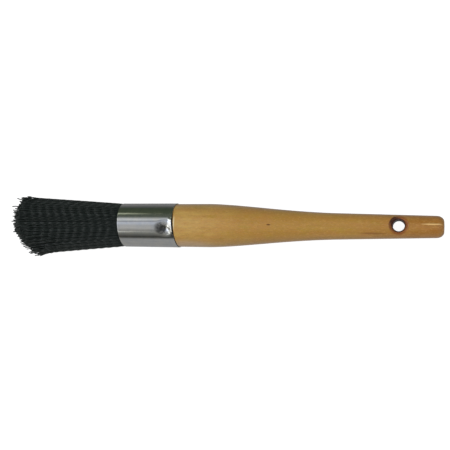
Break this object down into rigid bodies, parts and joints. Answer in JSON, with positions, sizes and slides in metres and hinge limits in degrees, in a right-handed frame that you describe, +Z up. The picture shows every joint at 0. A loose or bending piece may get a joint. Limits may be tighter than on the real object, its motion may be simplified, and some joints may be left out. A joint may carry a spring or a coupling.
{
  "type": "round stencil brush",
  "caption": "Round brush with a domed tuft of stiff crimped bristle in a metal ferrule, on a long turned wooden handle with a hanging hole.",
  "frame": {"origin": "on the table, under the middle of the brush's box, as the brush lies on its side", "axes": "+X along the brush towards the tail of the handle, in plan; +Z up, out of the table. The brush's own axis falls 2.4 degrees towards the tail, because the flared tuft holds the other end up"},
  "size_m": [0.252, 0.0348, 0.0346],
  "materials": {
    "lacquered_wood": "satin",
    "plated_steel": "satin",
    "resin": "gloss",
    "black_filament": "satin"
  },
  "bodies": {
    "root": {"handle": "lacquered_wood", "ferrule": "plated_steel", "resin_plug": "resin", "bristle_tuft": "black_filament"}
  },
  "joints": []
}
